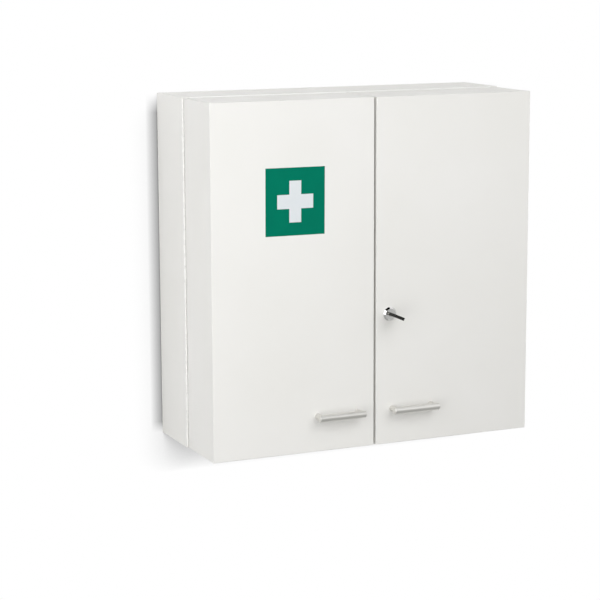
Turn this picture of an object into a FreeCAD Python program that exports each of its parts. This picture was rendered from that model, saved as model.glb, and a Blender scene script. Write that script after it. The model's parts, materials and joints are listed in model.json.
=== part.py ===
"""A wall cabinet for medicines: a half-depth carcass and two deep box doors on piano hinges.

The origin lies on the wall, midway between the two wall screws. X runs to the right, Y into the wall
and Z up, so the doors face -Y. Lengths are in millimetres and angles in degrees.
"""

import FreeCAD, Part

import os
import re

import Sketcher
from FreeCAD import Placement, Rotation, Vector

SIZES = {
    # The whole cabinet, without handles and hinge knuckles
    "cabinet_width": 530.0,
    "cabinet_height": 530.0,
    "cabinet_depth": 215.0,
    "door_depth": 105.0,
    # Boards
    "board": 12.0,
    "door_front_board": 12.0,
    "shelf_thickness": 9.0,
    "back_board": 3.0,
    "back_rebate": 6.0,
    "back_play": 0.2,
    "overrun": 1.0,
    # Hanging rail and its wall holes
    "rail_height": 60.0,
    "rail_board": 12.0,
    "wall_hole_spacing": 400.0,
    "wall_hole_radius": 3.0,
    # Carcass dowels
    "dowel_radius": 3.0,
    "dowel_length": 30.0,
    "dowel_bite": 8.0,
    "dowel_inset": 22.0,
    "dowel_play": 0.05,
    "dowel_end_gap": 0.5,
    # Loose shelves and the pegs under them
    "lower_shelf_share": 0.36,
    "upper_shelf_share": 0.68,
    "shelf_setback": 5.0,
    "shelf_play": 0.5,
    "peg_radius": 2.5,
    "peg_length": 18.0,
    "peg_bite": 8.0,
    "peg_inset": 20.0,
    "peg_play": 0.05,
    "peg_end_gap": 0.5,
    # Piano hinges
    "hinge_end_gap": 2.0,
    "leaf_width": 8.5,
    "leaf_thickness": 0.7,
    "leaf_clearance": 0.3,
    "hinge_pin_radius": 0.8,
    "hinge_pin_play": 0.05,
    "hinge_stand": 1.1,
    "knuckle_split": 0.3,
    "knuckle_side_gap": 0.15,
    "knuckle_rear_gap": 0.1,
    "knuckle_door_gap": 0.3,
    # Double magnetic catch
    "catch_height": 14.0,
    "catch_length": 30.0,
    "magnet_width": 9.0,
    "magnet_height": 8.0,
    "magnet_length": 12.0,
    "magnet_proud": 0.2,
    "catch_air_gap": 0.2,
    "catch_plate_width": 11.0,
    "catch_plate_height": 26.0,
    "catch_plate_thickness": 1.2,
    # Doors
    "door_gap": 3.5,
    "door_side_gap": 2.0,
    "door_head_gap": 1.2,
    "door_foot_gap": 0.5,
    "front_round": 1.2,
    "door_low_shelf_share": 0.25,
    "door_middle_shelf_share": 0.5,
    "door_high_shelf_share": 0.75,
    "door_shelf_setback": 6.0,
    "slat_thickness": 5.0,
    "slat_height": 20.0,
    "slat_lift": 18.0,
    # Bar handles
    "handle_length": 76.0,
    "handle_radius": 5.5,
    "handle_edge": 0.8,
    "handle_post_radius": 4.5,
    "handle_post_spacing": 66.0,
    "handle_reach": 17.5,
    "handle_height": 55.0,
    "handle_inset": 60.5,
    "bolt_radius": 2.0,
    "bolt_head_radius": 4.0,
    "bolt_head_height": 2.5,
    "bolt_bite": 9.0,
    "bolt_play": 0.2,
    "bolt_thread_play": 0.05,
    "bolt_end_gap": 1.0,
    # Lock
    "lock_inset": 10.25,
    "lock_shelf_gap": 13.3,
    "lock_flange": 4.5,
    "lock_flange_radius": 10.75,
    "lock_flange_edge": 2.4,
    "lock_barrel_radius": 8.0,
    "lock_barrel_length": 22.0,
    "lock_bore_play": 0.2,
    "nut_across_flats": 19.0,
    "nut_thickness": 4.0,
    "nut_play": 0.05,
    "plug_radius": 5.5,
    "plug_head": 2.0,
    "plug_head_radius": 6.5,
    "plug_play": 0.05,
    "plug_proud": 0.2,
    "tang_width": 7.0,
    "tang_gap": 0.1,
    "cam_gap": 0.4,
    "cam_thickness": 2.5,
    "cam_hub_radius": 8.0,
    "cam_arm_width": 12.0,
    "hook_clearance": 1.5,
    "hook_length": 6.0,
    "hook_height": 6.0,
    "slot_width": 5.5,
    "slot_headroom": 2.0,
    "slot_footroom": 3.0,
    "cam_screw_radius": 2.0,
    "cam_screw_head": 2.5,
    "cam_screw_head_radius": 4.5,
    "cam_screw_bite": 6.0,
    "cam_screw_play": 0.05,
    "cam_screw_end_gap": 0.5,
    "strike_thickness": 1.0,
    "strike_width": 16.0,
    "strike_margin": 12.0,
    # Key
    "key_tilt": 24.0,
    "key_neck": 10.0,
    "key_inside": 16.0,
    "blade_width": 7.5,
    "blade_thickness": 2.0,
    "blade_point": 2.0,
    "keyway_play": 0.1,
    "keyway_end_gap": 0.5,
    "key_head_width": 22.0,
    "key_head_length": 20.0,
    "key_head_thickness": 4.5,
    "key_head_round": 6.0,
    "key_ring_radius": 2.5,
    "key_ring_inset": 5.5,
    "blade_in_head": 8.0,
}
KNUCKLES = 19
KNUCKLE_SIDES = 12
PEG_SIDES = 8
DOWEL_SIDES = 8
BOLT_SIDES = 12
BITTING_PLACE_SHARES = (0.22, 0.45, 0.68)
BITTING_DEPTH_SHARES = (0.3, 0.18, 0.26)
BITTING_WIDTH_SHARE = 0.2
HANDS = {"left": -1, "right": 1}

# Places worked out from the sizes, as formulas for the sheet
HALF = "(cabinet_width / 2)"
INSIDE = f"({HALF} - board)"
TOP = "(board + rail_height / 2)"
BOTTOM = f"({TOP} - cabinet_height)"
FLOOR = f"({BOTTOM} + board)"
ROOM = "(cabinet_height - 2 * board)"
SEAM = "(2 * leaf_thickness + leaf_clearance)"
CARCASS_DEPTH = f"(cabinet_depth - door_depth - {SEAM})"
CARCASS_FRONT = f"-{CARCASS_DEPTH}"
DOOR_REAR = "(door_depth - cabinet_depth)"
DOOR_INSIDE = "(door_front_board - cabinet_depth)"
DOOR_EDGE = "(door_gap / 2)"
DOOR_SIDE = f"({HALF} - door_side_gap)"
DOOR_BOTTOM = f"({BOTTOM} + door_foot_gap)"
DOOR_HEIGHT = "(cabinet_height - door_foot_gap - door_head_gap)"
DOOR_FLOOR = f"({DOOR_BOTTOM} + board)"
DOOR_ROOM = f"({DOOR_HEIGHT} - 2 * board)"
DOOR_SHELF_DEPTH = "(door_depth - door_front_board - door_shelf_setback)"
HINGE_FOOT = f"({BOTTOM} + hinge_end_gap)"
HINGE_LENGTH = "(cabinet_height - 2 * hinge_end_gap)"
KNUCKLE_RADIUS = "(hinge_pin_radius + hinge_pin_play + leaf_thickness)"
KNUCKLE_PITCH = f"({HINGE_LENGTH} / {KNUCKLES})"
LEAF_EDGE = f"({KNUCKLE_RADIUS} + knuckle_side_gap)"
PIN_X = f"({DOOR_SIDE} + hinge_stand)"
PIN_Y = f"({CARCASS_FRONT} - {KNUCKLE_RADIUS} - knuckle_rear_gap)"
DOOR_BEVEL = f"(({KNUCKLE_RADIUS} + knuckle_door_gap) * sqrt(2) - hinge_stand - {PIN_Y} + {DOOR_REAR})"
CATCH_Z = f"({TOP} - board - catch_height / 2)"
MAGNET_FRONT = f"({DOOR_REAR} + catch_plate_thickness + catch_air_gap)"
HANDLE_X = f"({DOOR_EDGE} + handle_inset)"
HANDLE_Z = f"({BOTTOM} + handle_height)"
LOCK_X = f"({DOOR_EDGE} + board + lock_inset)"
LOCK_FACE = "(lock_flange + plug_proud)"
PLUG_END = "(lock_barrel_length + cam_gap)"
CAM_Y = f"({PLUG_END} - cabinet_depth)"
HOOK_NEAR = "(lock_inset + 2 * board + door_gap + hook_clearance)"
CAM_REACH = f"({HOOK_NEAR} + hook_length)"
LOCK_SHELF = f"({DOOR_FLOOR} + {DOOR_ROOM} * door_low_shelf_share + shelf_thickness / 2)"
LOCK_Z = f"({LOCK_SHELF} + lock_shelf_gap + {CAM_REACH})"
SLOT_Y = f"({CAM_Y} + cam_thickness / 2 - slot_width / 2)"
SLOT_FOOT = f"({LOCK_Z} - {CAM_REACH} - slot_footroom)"
SLOT_HEIGHT = f"({CAM_REACH} + slot_footroom + cam_arm_width / 2 + slot_headroom)"

doc = FreeCAD.newDocument("MedicineCabinet")
nodes = []


def fill_sheet():
    """Write every driving size into the sheet, one row each."""
    sheet = doc.addObject("Spreadsheet::Sheet", "Sizes")
    for row, (name, value) in enumerate(SIZES.items(), start=1):
        sheet.set(f"A{row}", name)
        sheet.set(f"B{row}", str(value))
        sheet.setAlias(f"B{row}", name)
    doc.recompute()


def bind(item, place, text):
    """Tie a property to a formula whose words are sizes in the sheet."""
    item.setExpression(
        place,
        re.sub(r"[a-z_]+", lambda word: f"Sizes.{word[0]}" if word[0] in SIZES else word[0], text),
    )


def put(item, x, y, z):
    """Tie where an object stands to three formulas."""
    for axis, text in zip("xyz", (x, y, z)):
        bind(item, f"Placement.Base.{axis}", text)


def node(item, label):
    """Name a finished sub-part and keep it for the output."""
    item.Label = label
    nodes.append(item)
    return item


def across(side, near, far):
    """Start and size along X of a piece between two distances from the middle of the cabinet."""
    return near if side > 0 else f"-({far})", f"({far}) - ({near})"


def slab(name, x, y, z):
    """A rectangular block. Each of x, y and z holds where it starts and how far it goes."""
    block = doc.addObject("Part::Box", name)
    for size, (_, length) in zip(("Length", "Width", "Height"), (x, y, z)):
        bind(block, size, length)
    put(block, x[0], y[0], z[0])
    return block


TURNS = {"x": Rotation(Vector(0, 1, 0), 90), "y": Rotation(Vector(1, 0, 0), -90), "z": Rotation()}


def rod(name, axis, start, radius, length):
    """A round bar that starts at a point and runs along +X, +Y or +Z."""
    bar = doc.addObject("Part::Cylinder", name)
    bar.Placement = Placement(Vector(), TURNS[axis])
    bind(bar, "Radius", radius)
    bind(bar, "Height", length)
    put(bar, *start)
    return bar


def prism(name, axis, start, radius, length, sides):
    """A many-sided bar that starts at a point and runs along +X, +Y or +Z."""
    bar = doc.addObject("Part::Prism", name)
    bar.Polygon = sides
    bar.Placement = Placement(Vector(), TURNS[axis])
    bind(bar, "Circumradius", radius)
    bind(bar, "Height", length)
    put(bar, *start)
    return bar


def group(name, items):
    """Several solids as one object."""
    bundle = doc.addObject("Part::Compound", name)
    bundle.Links = items
    return bundle


def cut(name, base, tools):
    """A blank with other shapes taken out of it."""
    result = doc.addObject("Part::Cut", name)
    result.Base = base
    result.Tool = tools[0] if len(tools) == 1 else group(f"{name}_tools", tools)
    return result


def new_body(name, x, y, z, turn=Rotation()):
    """A PartDesign body whose own origin stands at a place given by formulas."""
    body = doc.addObject("PartDesign::Body", name)
    body.Placement = Placement(Vector(), turn)
    put(body, x, y, z)
    return body


def new_sketch(body, plane, name, lift=None):
    """A sketch on one of the body's own planes, lifted along the plane's normal by a formula."""
    sketch = body.newObject("Sketcher::SketchObject", f"{body.Name}_{name}")
    support = [item for item in body.Origin.OriginFeatures if item.Role == f"{plane}_Plane"]
    sketch.AttachmentSupport = [(support[0], "")]
    sketch.MapMode = "FlatFace"
    if lift:
        bind(sketch, "AttachmentOffset.Base.z", lift)
    return sketch


def hold(sketch, kind, *where, text):
    """Add a dimension to a sketch and tie it to a formula."""
    index = sketch.addConstraint(Sketcher.Constraint(kind, *where, 1.0))
    sketch.renameConstraint(index, f"size_{index}")
    bind(sketch, f"Constraints.size_{index}", text)


def pin_point(sketch, geometry, point, x, y):
    """Hold a point of a sketch at a place given by formulas, on an axis where one of them is zero."""
    for kind, text, axis in (("DistanceX", x, -2), ("DistanceY", y, -1)):
        if text == "0":
            sketch.addConstraint(Sketcher.Constraint("PointOnObject", geometry, point, axis))
        else:
            hold(sketch, kind, -1, 1, geometry, point, text=text)


def draw_circle(sketch, x, y, radius):
    """A circle with its middle and radius tied to formulas."""
    index = sketch.addGeometry(Part.Circle(Vector(), Vector(0, 0, 1), 1.0))
    pin_point(sketch, index, 3, x, y)
    hold(sketch, "Radius", index, text=radius)


def draw_polygon(sketch, corners):
    """A closed outline with every corner tied to a pair of formulas."""
    count = len(corners)
    ring = [Rotation(Vector(0, 0, 1), 360 * step / count).multVec(Vector(1, 0, 0)) for step in range(count)]
    lines = [
        sketch.addGeometry(Part.LineSegment(ring[step], ring[(step + 1) % count])) for step in range(count)
    ]
    for step, line in enumerate(lines):
        sketch.addConstraint(Sketcher.Constraint("Coincident", line, 2, lines[(step + 1) % count], 1))
        pin_point(sketch, line, 1, *corners[step])


def draw_ring(sketch, x, y, radius, sides, bore=False):
    """A regular outline round a point: inside a circle given by a formula, or outside it for a bore."""
    corner = f"({radius}) / cos(180 deg / {sides})" if bore else f"({radius})"
    turns = [f"{(step + 0.5) * 360 / sides} deg" for step in range(sides)]
    corners = [(f"{x} + {corner} * cos({turn})", f"{y} + {corner} * sin({turn})") for turn in turns]
    draw_polygon(sketch, corners)


def draw_box(sketch, left, right, low, high):
    """A rectangle with its four sides tied to formulas."""
    draw_polygon(sketch, [(left, low), (right, low), (right, high), (left, high)])


def pad(body, sketch, length, reverse=False, both=False):
    """Raise a sketch by a length, along its normal or against it, or half to each side."""
    feature = body.newObject("PartDesign::Pad", f"{sketch.Name}_pad")
    feature.Profile = sketch
    feature.Reversed = reverse
    if both:
        feature.SideType = "Symmetric"
    bind(feature, "Length", length)
    return feature


def pocket(body, sketch, length, reverse=False):
    """Sink a sketch by a length, against its normal, or along it when reversed."""
    feature = body.newObject("PartDesign::Pocket", f"{sketch.Name}_pocket")
    feature.Profile = sketch
    feature.Reversed = reverse
    bind(feature, "Length", length)
    return feature


def soften(body, base, kind, size, chosen):
    """Round or chamfer the edges of a feature that a test on the edge picks out."""
    doc.recompute()
    picked = [f"Edge{index}" for index, edge in enumerate(base.Shape.Edges, start=1) if chosen(edge)]
    feature = body.newObject(f"PartDesign::{kind}", f"{base.Name}_{kind.lower()}")
    feature.Base = (base, picked)
    bind(feature, "Radius" if kind == "Fillet" else "Size", size)
    return feature


def turned(body, sketch):
    """Turn a sketch a full round about its own upright axis."""
    feature = body.newObject("PartDesign::Revolution", f"{sketch.Name}_turned")
    feature.Profile = sketch
    feature.ReferenceAxis = (sketch, ["V_Axis"])
    feature.Angle = 360
    return feature


def corner_dowels():
    """The dowels that join the sides to the top and bottom, and the bores that they sit in."""
    dowels, bores = [], []
    near, far = f"{INSIDE} + dowel_bite - dowel_length", f"{INSIDE} + dowel_bite"
    levels = {"top": f"{TOP} - board / 2", "bottom": f"{BOTTOM} + board / 2"}
    ends = {"front": f"{CARCASS_FRONT} + dowel_inset", "rear": "-dowel_inset"}
    for hand, side in HANDS.items():
        for level, z in levels.items():
            for end, y in ends.items():
                name = f"{hand}_{level}_{end}"
                x, length = across(side, near, far)
                dowels.append(prism(f"{name}_dowel", "x", (x, y, z), "dowel_radius", length, DOWEL_SIDES))
                x, length = across(side, f"{near} - dowel_end_gap", f"{far} + dowel_end_gap")
                radius = "dowel_radius + dowel_play"
                bores.append(prism(f"{name}_bore", "x", (x, y, z), radius, length, DOWEL_SIDES))
    node(group("dowel_group", dowels), "carcass_dowels")
    return bores


def loose_shelves():
    """The two shelves of the carcass on their pegs. Gives the bores that hold the pegs."""
    pegs, bores = [], []
    depth = f"{CARCASS_DEPTH} - shelf_setback - back_board - shelf_play"
    front = f"{CARCASS_FRONT} + shelf_setback"
    near, far = f"{INSIDE} + peg_bite - peg_length", f"{INSIDE} + peg_bite"
    for level in ("lower", "upper"):
        foot = f"{FLOOR} + {ROOM} * {level}_shelf_share - shelf_thickness / 2"
        width = (f"shelf_play - {INSIDE}", f"2 * ({INSIDE} - shelf_play)")
        node(slab(f"{level}_board", width, (front, depth), (foot, "shelf_thickness")), f"{level}_shelf")
        for hand, side in HANDS.items():
            for end, y in {"front": f"{front} + peg_inset", "rear": "-(back_board + peg_inset)"}.items():
                name = f"{level}_{hand}_{end}"
                z, radius = f"{foot} - peg_radius", "peg_radius + peg_play"
                x, length = across(side, near, far)
                pegs.append(prism(f"{name}_peg", "x", (x, y, z), "peg_radius", length, PEG_SIDES))
                x, length = across(side, f"{INSIDE} - overrun", f"{far} + peg_end_gap")
                bores.append(prism(f"{name}_bore", "x", (x, y, z), radius, length, PEG_SIDES))
    node(group("peg_group", pegs), "shelf_pins")
    return bores


def carcass():
    """The half-depth box that hangs on the wall."""
    through_y = (CARCASS_FRONT, CARCASS_DEPTH)
    upright = (BOTTOM, "cabinet_height")
    inner_x = (f"-{INSIDE}", f"2 * {INSIDE}")
    seat_x = f"({INSIDE} + back_rebate)"
    seat_foot, seat_height = f"({FLOOR} - back_rebate)", f"({ROOM} + 2 * back_rebate)"
    back_seat = slab(
        "back_seat",
        (f"-{seat_x}", f"2 * {seat_x}"),
        ("-back_board", "back_board + overrun"),
        (seat_foot, seat_height),
    )
    dowel_bores = corner_dowels()
    peg_bores = loose_shelves()
    for hand, side in HANDS.items():
        blank = slab(f"{hand}_side_blank", across(side, INSIDE, HALF), through_y, upright)
        bores = [bore for bore in dowel_bores + peg_bores if f"{hand}_" in bore.Name]
        node(cut(f"{hand}_side_cut", blank, [back_seat] + bores), f"carcass_{hand}_side")
    for level, foot in {"top": f"{TOP} - board", "bottom": BOTTOM}.items():
        blank = slab(f"{level}_blank", inner_x, through_y, (foot, "board"))
        bores = [bore for bore in dowel_bores if f"_{level}_" in bore.Name]
        node(cut(f"{level}_cut", blank, [back_seat] + bores), f"carcass_{level}")
    wall_holes = [
        rod(
            f"{hand}_wall_hole",
            "y",
            (f"{side} * wall_hole_spacing / 2", "-(back_board + rail_board + overrun)", "0"),
            "wall_hole_radius",
            "back_board + rail_board + 2 * overrun",
        )
        for hand, side in HANDS.items()
    ]
    panel = slab(
        "back_blank",
        (f"back_play - {seat_x}", f"2 * ({seat_x} - back_play)"),
        ("-back_board", "back_board"),
        (f"{seat_foot} + back_play", f"{seat_height} - 2 * back_play"),
    )
    node(cut("back_cut", panel, wall_holes), "back_panel")
    rail = slab(
        "rail_blank",
        inner_x,
        ("-(back_board + rail_board)", "rail_board"),
        (f"{TOP} - board - rail_height", "rail_height"),
    )
    node(cut("rail_cut", rail, wall_holes), "hanging_rail")


def hinge_leaf(label, hand, seat, first, count, turn, foot):
    """One leaf of a piano hinge: a long strip with every other knuckle rolled on its edge.

    The leaf is drawn about the pin, with the strip towards +X and its back at the seat along Y, and turned
    into place.
    """
    body = new_body(f"{label}_body", f"{HANDS[hand]} * {PIN_X}", PIN_Y, foot, turn)
    low, high = f"{seat} - leaf_thickness", seat
    strip = new_sketch(body, "XY", "strip")
    draw_box(strip, LEAF_EDGE, f"{LEAF_EDGE} + leaf_width", low, high)
    pad(body, strip, HINGE_LENGTH)
    lift = f"{first} * {KNUCKLE_PITCH} + knuckle_split / 2"
    roll_length = f"{KNUCKLE_PITCH} - knuckle_split"
    tab = new_sketch(body, "XY", "tab", lift)
    draw_box(tab, "hinge_pin_radius", f"{LEAF_EDGE} + knuckle_side_gap", low, high)
    tab_pad = pad(body, tab, roll_length)
    roll = new_sketch(body, "XY", "roll", lift)
    draw_ring(roll, "0", "0", KNUCKLE_RADIUS, KNUCKLE_SIDES)
    roll_pad = pad(body, roll, roll_length)
    doc.recompute()
    row = body.newObject("PartDesign::LinearPattern", f"{label}_row")
    row.Originals = [tab_pad, roll_pad]
    upright = [item for item in body.Origin.OriginFeatures if item.Role == "Z_Axis"]
    row.Direction = (upright[0], [""])
    row.Occurrences = count
    bind(row, "Length", f"2 * {KNUCKLE_PITCH} * {count - 1}")
    body.Tip = row
    bore = new_sketch(body, "XY", "bore")
    draw_ring(bore, "0", "0", "hinge_pin_radius + hinge_pin_play", KNUCKLE_SIDES, bore=True)
    body.Tip = pocket(body, bore, HINGE_LENGTH, reverse=True)
    return node(body, label)


def hinges():
    """Both piano hinges, each with two leaves and a pin."""
    head = f"{HINGE_FOOT} + {HINGE_LENGTH}"
    carcass_count, door_count = KNUCKLES // 2 + 1, KNUCKLES // 2
    over_x, over_y, over_z = (Rotation(Vector(*axis), 180) for axis in ((1, 0, 0), (0, 1, 0), (0, 0, 1)))
    carcass_seat, door_seat = f"({CARCASS_FRONT} - {PIN_Y})", f"({PIN_Y} - {DOOR_REAR})"
    hinge_leaf("left_carcass_leaf", "left", carcass_seat, 0, carcass_count, Rotation(), HINGE_FOOT)
    hinge_leaf("left_door_leaf", "left", door_seat, 1, door_count, over_x, head)
    hinge_leaf("right_carcass_leaf", "right", carcass_seat, 0, carcass_count, over_y, head)
    hinge_leaf("right_door_leaf", "right", door_seat, 1, door_count, over_z, HINGE_FOOT)
    for hand, side in HANDS.items():
        start = (f"{side} * {PIN_X}", PIN_Y, HINGE_FOOT)
        pin = rod(f"{hand}_pin", "z", start, "hinge_pin_radius", HINGE_LENGTH)
        node(pin, f"{hand}_hinge_pin")


def magnetic_catch():
    """The double catch under the top board, with one magnet for each door."""
    magnets = [
        slab(
            f"{hand}_magnet",
            across(
                side,
                f"{DOOR_EDGE} + (board - magnet_width) / 2",
                f"{DOOR_EDGE} + (board + magnet_width) / 2",
            ),
            (MAGNET_FRONT, "magnet_length"),
            (f"{CATCH_Z} - magnet_height / 2", "magnet_height"),
        )
        for hand, side in HANDS.items()
    ]
    half = f"({DOOR_EDGE} + board)"
    case = slab(
        "catch_blank",
        (f"-{half}", f"2 * {half}"),
        (f"{MAGNET_FRONT} + magnet_proud", "catch_length"),
        (f"{CATCH_Z} - catch_height / 2", "catch_height"),
    )
    node(cut("catch_cut", case, magnets), "catch_housing")
    node(group("magnet_group", magnets), "catch_magnets")


def cam_slot():
    """The space that the lock's cam swings through, across both doors."""
    half = f"({DOOR_EDGE} + board + overrun)"
    return slab("cam_slot", (f"-{half}", f"2 * {half}"), (SLOT_Y, "slot_width"), (SLOT_FOOT, SLOT_HEIGHT))


def door_front(hand, side):
    """The face of a door, with soft front edges and the bores of its handle and lock."""
    body = new_body(f"{hand}_front_body", "0", DOOR_INSIDE, "0")
    start, width = across(side, DOOR_EDGE, DOOR_SIDE)
    outline = new_sketch(body, "XZ", "outline")
    draw_box(outline, start, f"{start} + {width}", DOOR_BOTTOM, f"{DOOR_BOTTOM} + {DOOR_HEIGHT}")
    panel = pad(body, outline, "door_front_board")
    soften(body, panel, "Fillet", "front_round", lambda edge: edge.BoundBox.YMax < panel.Shape.CenterOfMass.y)
    bores = new_sketch(body, "XZ", "bores")
    for end in (-1, 1):
        x = f"{side} * {HANDLE_X} + {end} * handle_post_spacing / 2"
        draw_ring(bores, x, HANDLE_Z, "bolt_radius + bolt_play", BOLT_SIDES, bore=True)
    if hand == "right":
        draw_circle(bores, LOCK_X, LOCK_Z, "lock_barrel_radius + lock_bore_play")
    body.Tip = pocket(body, bores, "door_front_board + overrun", reverse=True)
    node(body, f"{hand}_door_front")


def knuckle_room(label, side):
    """The long corner to take off a door's outer side, where the hinge knuckles stand."""
    body = new_body(f"{label}_room_body", f"{side} * {DOOR_SIDE}", DOOR_REAR, f"{BOTTOM} - overrun")
    corner = new_sketch(body, "XY", "corner")
    reach, outside = f"({DOOR_BEVEL} + overrun)", f"{side} * overrun"
    draw_polygon(corner, [(outside, f"-{reach}"), (outside, "overrun"), (f"{-side} * {reach}", "overrun")])
    body.Tip = pad(body, corner, "cabinet_height + 2 * overrun")
    return body


def door_frame(hand, side, slot):
    """The boards behind a door's face: two sides, top, bottom, three shelves and the slats."""
    deep = (DOOR_INSIDE, "door_depth - door_front_board")
    upright = (DOOR_BOTTOM, DOOR_HEIGHT)
    between = across(side, f"{DOOR_EDGE} + board", f"{DOOR_SIDE} - board")
    label = f"{hand}_door"
    outer = slab(f"{label}_outer", across(side, f"{DOOR_SIDE} - board", DOOR_SIDE), deep, upright)
    node(cut(f"{label}_outer_cut", outer, [knuckle_room(label, side)]), f"{label}_outer_side")
    inner_x = across(side, DOOR_EDGE, f"{DOOR_EDGE} + board")
    inner = slab(f"{label}_inner", inner_x, deep, upright)
    node(cut(f"{label}_inner_cut", inner, [slot]), f"{label}_inner_side")
    for level, foot in {
        "top": f"{DOOR_BOTTOM} + {DOOR_HEIGHT} - board",
        "bottom": DOOR_BOTTOM,
    }.items():
        node(slab(f"{label}_{level}_board", between, deep, (foot, "board")), f"{label}_{level}")
    slats = []
    slat_y = f"{DOOR_REAR} - door_shelf_setback - slat_thickness"
    ledges = {"floor": DOOR_FLOOR}
    for level in ("low", "middle", "high"):
        middle = f"{DOOR_FLOOR} + {DOOR_ROOM} * door_{level}_shelf_share"
        foot = f"{middle} - shelf_thickness / 2"
        ledges[level] = f"{middle} + shelf_thickness / 2"
        shelf = slab(
            f"{label}_{level}_board", between, (DOOR_INSIDE, DOOR_SHELF_DEPTH), (foot, "shelf_thickness")
        )
        node(shelf, f"{label}_{level}_shelf")
    for level, ledge in ledges.items():
        place = (f"{ledge} + slat_lift", "slat_height")
        slats.append(slab(f"{label}_{level}_slat", between, (slat_y, "slat_thickness"), place))
    node(group(f"{label}_slat_group", slats), f"{label}_slats")
    plate_x = across(
        side,
        f"{DOOR_EDGE} + (board - catch_plate_width) / 2",
        f"{DOOR_EDGE} + (board + catch_plate_width) / 2",
    )
    plate = slab(
        f"{label}_striker",
        plate_x,
        (DOOR_REAR, "catch_plate_thickness"),
        (f"{CATCH_Z} - catch_plate_height / 2", "catch_plate_height"),
    )
    node(plate, f"{hand}_catch_plate")


def handle(hand, side):
    """A round bar on two posts, and the two bolts that hold it through the door."""
    x = f"{side} * {HANDLE_X}"
    body = new_body(f"{hand}_handle_body", x, "-(cabinet_depth + handle_reach)", HANDLE_Z)
    section = new_sketch(body, "YZ", "section")
    draw_circle(section, "0", "0", "handle_radius")
    bar = pad(body, section, "handle_length", both=True)
    soften(body, bar, "Chamfer", "handle_edge", lambda edge: abs(edge.CenterOfMass.x) > edge.BoundBox.XLength)
    posts = new_sketch(body, "XZ", "posts")
    bores = new_sketch(body, "XZ", "bores", "-handle_reach")
    for end in (-1, 1):
        place = f"{end} * handle_post_spacing / 2"
        draw_circle(posts, place, "0", "handle_post_radius")
        draw_ring(bores, place, "0", "bolt_radius + bolt_thread_play", BOLT_SIDES, bore=True)
    pad(body, posts, "handle_reach", reverse=True)
    body.Tip = pocket(body, bores, "bolt_bite + bolt_end_gap", reverse=True)
    node(body, f"{hand}_handle")
    bolts = []
    for end, name in ((-1, "west"), (1, "east")):
        where = f"{x} + {end} * handle_post_spacing / 2"
        shank_start = (where, "-(cabinet_depth + bolt_bite)", HANDLE_Z)
        length = "bolt_bite + door_front_board"
        shank = prism(f"{hand}_{name}_shank", "y", shank_start, "bolt_radius", length, BOLT_SIDES)
        head_start = (where, DOOR_INSIDE, HANDLE_Z)
        length = "bolt_head_height"
        head = prism(f"{hand}_{name}_head", "y", head_start, "bolt_head_radius", length, 2 * BOLT_SIDES)
        bolt = doc.addObject("Part::Fuse", f"{hand}_{name}_bolt")
        bolt.Base = head
        bolt.Tool = shank
        bolts.append(bolt)
    node(group(f"{hand}_bolt_group", bolts), f"{hand}_handle_bolts")


def strike_plate(slot):
    """The plate on the left door that the lock's hook passes through."""
    plate = slab(
        "strike_blank",
        (f"-{DOOR_EDGE}", "strike_thickness"),
        (f"{SLOT_Y} + slot_width / 2 - strike_width / 2", "strike_width"),
        (f"{SLOT_FOOT} - strike_margin", f"{SLOT_HEIGHT} + 2 * strike_margin"),
    )
    node(cut("strike_cut", plate, [slot]), "strike_plate")


def lock_housing():
    """The lock's barrel and flange, turned as one piece, and the nut that holds it."""
    body = new_body("housing_body", LOCK_X, "-cabinet_depth", LOCK_Z)
    profile = new_sketch(body, "XY", "profile")
    bore, head_bore = "plug_radius + plug_play", "plug_head_radius + plug_play"
    seat = "plug_head + plug_play - lock_flange"
    draw_polygon(
        profile,
        [
            (bore, "lock_barrel_length"),
            ("lock_barrel_radius", "lock_barrel_length"),
            ("lock_barrel_radius", "0"),
            ("lock_flange_radius", "0"),
            ("lock_flange_radius", "lock_flange_edge - lock_flange"),
            ("lock_flange_radius - lock_flange_edge", "-lock_flange"),
            (head_bore, "-lock_flange"),
            (head_bore, seat),
            (bore, seat),
        ],
    )
    turned(body, profile)
    node(body, "lock_housing")
    corner = "nut_across_flats / 2 / cos(30 deg)"
    nut = prism("nut_blank", "y", (LOCK_X, DOOR_INSIDE, LOCK_Z), corner, "nut_thickness", 6)
    nut.Placement.Rotation = TURNS["y"] * Rotation(Vector(0, 0, 1), 30)
    start = (LOCK_X, f"{DOOR_INSIDE} - overrun", LOCK_Z)
    length = "nut_thickness + 2 * overrun"
    bore = rod("nut_bore", "y", start, "lock_barrel_radius + nut_play", length)
    node(cut("nut_cut", nut, [bore]), "lock_nut")


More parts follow.
